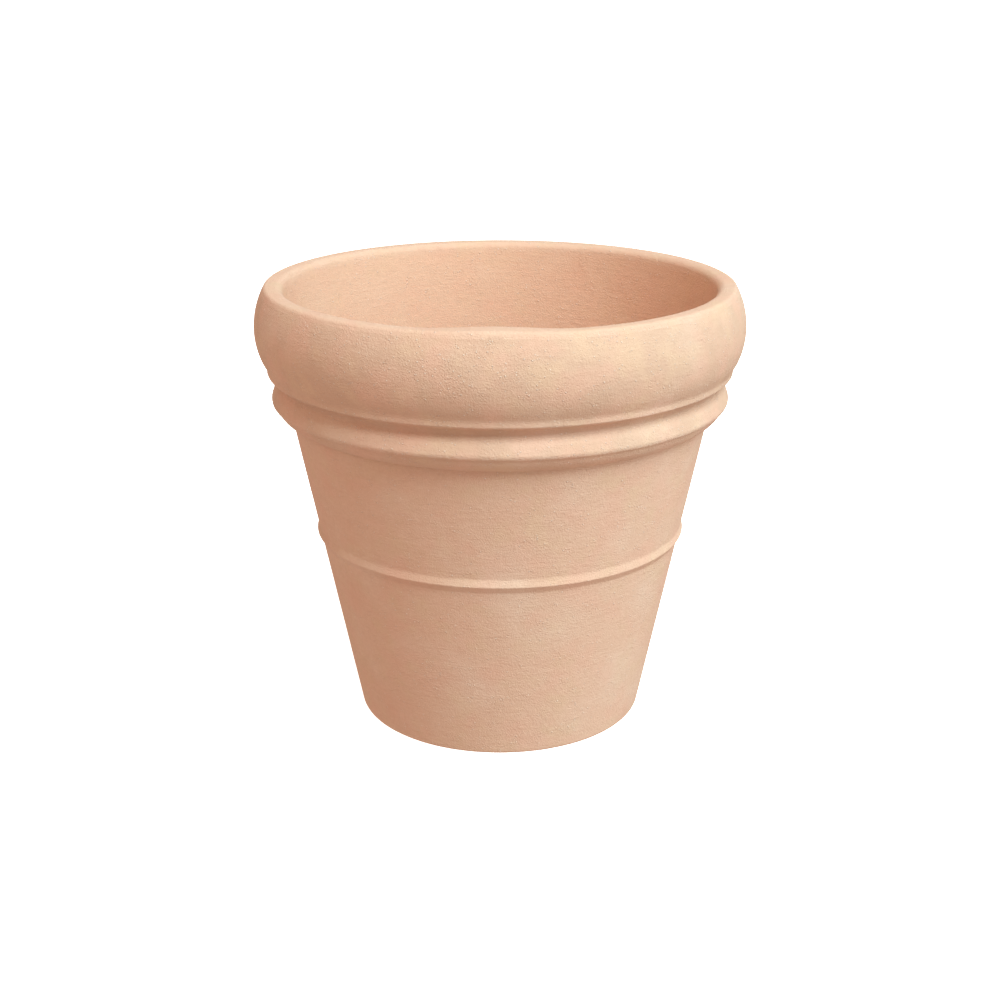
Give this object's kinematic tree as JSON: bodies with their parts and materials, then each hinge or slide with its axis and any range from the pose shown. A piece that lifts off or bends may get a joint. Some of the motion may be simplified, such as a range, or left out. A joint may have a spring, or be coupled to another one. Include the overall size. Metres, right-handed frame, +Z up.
{
  "type": "terracotta flower pot",
  "caption": "Round tapered terracotta floor pot with a thick rolled rim, a heavy collar band under it, a thin raised band at mid height and a central drain hole.",
  "frame": {"origin": "centre of the flat underside, on the pot's axis", "axes": "+Z up along the pot's axis of revolution, towards the mouth; X and Y are equivalent"},
  "size_m": [0.5002, 0.5002, 0.46],
  "materials": {
    "terracotta_base": "matte",
    "terracotta_wall": "matte",
    "terracotta_band": "matte"
  },
  "bodies": {
    "root": {"base_slab": "terracotta_base", "corner_coil": "terracotta_wall", "lower_course": "terracotta_wall", "upper_course": "terracotta_wall", "rim_course": "terracotta_wall", "cordon": "terracotta_band", "collar": "terracotta_band", "rim_bead": "terracotta_band", "rim_roll": "terracotta_band"}
  },
  "joints": []
}
